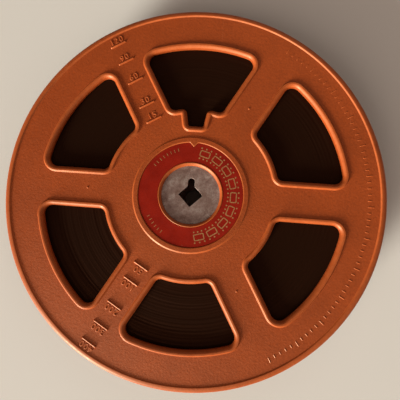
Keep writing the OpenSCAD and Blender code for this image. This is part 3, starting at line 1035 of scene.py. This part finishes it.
def film_strip():
    """Developed film: faint frames with the holes at their dividing lines, and scratches along the strip."""
    look = Look("film_strip", IOR=1.5, Specular_IOR_Level=0.4)
    place = look.add("ShaderNodeUVMap", uv_map="UVMap").outputs[0]
    along, across = look.add("ShaderNodeSeparateXYZ", {0: place}).outputs[:2]
    from_line = look.math("ABSOLUTE", look.math("SUBTRACT", look.math("FRACT", along), 0.5))
    from_middle = look.math("ABSOLUTE", look.math("SUBTRACT", across, 0.5))
    in_frame = look.math("GREATER_THAN", from_line, FRAME_LINE_HALF)
    in_height = look.math("LESS_THAN", from_middle, PICTURE_HALF_H)
    inside = look.math("MULTIPLY", in_frame, in_height)
    square = look.mapped(place, (1.0, FILM_W / FRAME_PITCH, 1.0))
    shapes = look.noise(1.3, detail=2, roughness=0.4, place=square)
    picture = look.ramp(shapes, (0.36, PICTURE_DARK), (0.68, PICTURE_PALE))
    margin = look.ramp(look.noise(400, detail=3), (0.3, MARGIN_DARK), (0.7, MARGIN_PALE))
    streaks = look.noise(1.0, detail=3, roughness=0.6, place=look.mapped(place, SCRATCH_CELLS))
    scratches = look.ramp(streaks, (0.62, 0.0), (0.72, 0.4))
    look.to_shader("Base Color", look.mix(scratches, look.mix(inside, margin, picture), FILM_SCRATCH))
    look.to_shader("Roughness", look.ramp(streaks, (0.35, 0.16), (0.7, 0.3)))
    look.to_shader("Normal", look.bump(streaks, SCRATCH_DEPTH, strength=0.5))
    return look.material


LOOKS = {
    "orange_plastic": orange_plastic(),
    "label_red": red_label(),
    "print": beige_print(),
    "plate_steel": plate_steel(),
    "screw_steel": screw_steel(),
    "film_edges": film_edges(),
    "film_strip": film_strip(),
}


# Pieces, each on its body and in place of its solids.

def dress(piece, look):
    """Gives a piece or a solid one of the looks, in place of what it had."""
    piece.data.materials.clear()
    piece.data.materials.append(LOOKS[look])


def place_piece(piece, body, slot, look, *replaced):
    """Gives a piece its material and body, and hides the solids that it stands for. The slot is not used."""
    dress(piece, look)
    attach(piece, body)
    if replaced:
        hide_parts(*replaced)


for side, place in (("front", ON_FRONT), ("rear", ON_REAR)):
    moulding = make_flange(f"{side}_moulding", place)
    place_piece(moulding, "reel", "orange_plastic", "orange_plastic", f"{side}_flange")
    marks = make_marks(f"{side}_scale_marks", place)
    place_piece(marks, "reel", "orange_plastic", "orange_plastic")
    label = make_label(f"{side}_label", place)
    place_piece(label, "reel", "label_red", "label_red", f"{side}_label_ring")
    label_print = make_print(f"{side}_label_print", place)
    place_piece(label_print, "reel", "label_red", "print")
place_piece(make_film_pack("film_roll_pack"), "film_roll", "film", "film_edges", "film_pack")
place_piece(make_film_turns("film_outer_strip"), "film_roll", "film", "film_strip", "film_outer_turns")

# Solids that keep their own shape: plates with broken edges, the core and the screws.
PLATE_WELD = 0.005 * MM
PLATE_EDGE = 0.15 * MM
PLATE_EDGE_STEPS = 2
PLATE_EDGE_ANGLE = 40

for name, node in nodes.items():
    if name.endswith("_spindle_plate"):
        dress(node, "plate_steel")
        weld = node.modifiers.new("weld", "WELD")
        weld.merge_threshold = PLATE_WELD
        bevel = node.modifiers.new("broken_edges", "BEVEL")
        bevel.width = PLATE_EDGE
        bevel.segments = PLATE_EDGE_STEPS
        bevel.angle_limit = math.radians(PLATE_EDGE_ANGLE)
    elif "_screw_" in name:
        dress(node, "screw_steel")
    elif name == "film_core":
        dress(node, "orange_plastic")


# Camera at the photograph's viewing angle: nearly overhead, a little to the lower right of the hub.
PHOTO_W = 400
PHOTO_FOCAL = 400
SENSOR = 36.0
CLIP_START = 0.01
EYE = Vector((18.4 * MM, -16.86 * MM, FRONT_FACE + FLANGE_T + 183.92 * MM))
CAMERA_BACK = Vector((0.0737, -0.0795, 0.9941)).normalized()
CAMERA_UP = Vector((-0.0717, 0.9938, 0.0848))

lens = bpy.data.cameras.new("camera")
lens.sensor_width = SENSOR
lens.lens = SENSOR * PHOTO_FOCAL / PHOTO_W
lens.clip_start = CLIP_START
camera = bpy.data.objects.new("camera", lens)
bpy.context.scene.collection.objects.link(camera)
right = CAMERA_UP.cross(CAMERA_BACK).normalized()
upright = CAMERA_BACK.cross(right)
axes = Matrix((right, upright, CAMERA_BACK)).transposed().to_4x4()
camera.matrix_world = Matrix.Translation(EYE) @ axes
bpy.context.scene.camera = camera


# Pale floor and soft studio light: a low key from the lower left and three weak fills.
FLOOR_HALF = 8.0
FLOOR_GAP = 0.02 * MM
FLOOR_PALE = srgb(226, 223, 219)
WORLD_COLOUR = (1.0, 0.8, 0.66, 1.0)
WORLD_STRENGTH = 0.09
# Name, azimuth and elevation in degrees, distance, width and height in metres, watts, and colour.
LAMPS = (
    ("key", 233, 12, 10.0, 2.4, 3.14, 2367.0, (1.0, 0.98, 0.86)),
    ("left_fill", 238, 42, 1.3, 0.9, 0.9, 5.2, (1.0, 0.82, 0.69)),
    ("right_fill", 330, 42, 1.3, 0.9, 0.9, 1.8, (1.0, 0.8, 0.68)),
    ("top_fill", 70, 42, 1.3, 0.9, 0.9, 1.5, (1.0, 0.8, 0.68)),
)


def make_floor():
    """A matt floor, just under the reel so that the two faces don't coincide."""
    bm = bmesh.new()
    bmesh.ops.create_grid(bm, x_segments=2, y_segments=2, size=FLOOR_HALF)
    mesh = bpy.data.meshes.new("floor")
    bm.to_mesh(mesh)
    bm.free()
    floor = bpy.data.objects.new("floor", mesh)
    floor.location.z = -FLOOR_GAP
    bpy.context.scene.collection.objects.link(floor)
    look = Look("floor", Base_Color=FLOOR_PALE, Roughness=0.9, Specular_IOR_Level=0.0)
    mesh.materials.append(look.material)


def soft_light(name, azimuth, elevation, distance, width, height, power, colour):
    """A lamp that faces the reel from a direction turned from +X."""
    lamp = bpy.data.lights.new(name, "AREA")
    lamp.shape = "RECTANGLE"
    lamp.size = width
    lamp.size_y = height
    lamp.energy = power
    lamp.color = colour
    holder = bpy.data.objects.new(name, lamp)
    bpy.context.scene.collection.objects.link(holder)
    x, y = polar(math.cos(math.radians(elevation)), azimuth)
    toward = Vector((x, y, math.sin(math.radians(elevation))))
    holder.location = Vector((0, 0, MIDDLE)) + toward * distance
    holder.rotation_euler = toward.to_track_quat("Z", "Y").to_euler()


make_floor()
for row in LAMPS:
    soft_light(*row)

world = bpy.data.worlds.new("world")
bpy.context.scene.world = world
world.use_nodes = True
background = world.node_tree.nodes["Background"]
background.inputs["Color"].default_value = WORLD_COLOUR
background.inputs["Strength"].default_value = WORLD_STRENGTH

bpy.context.scene.view_settings.view_transform = "Standard"
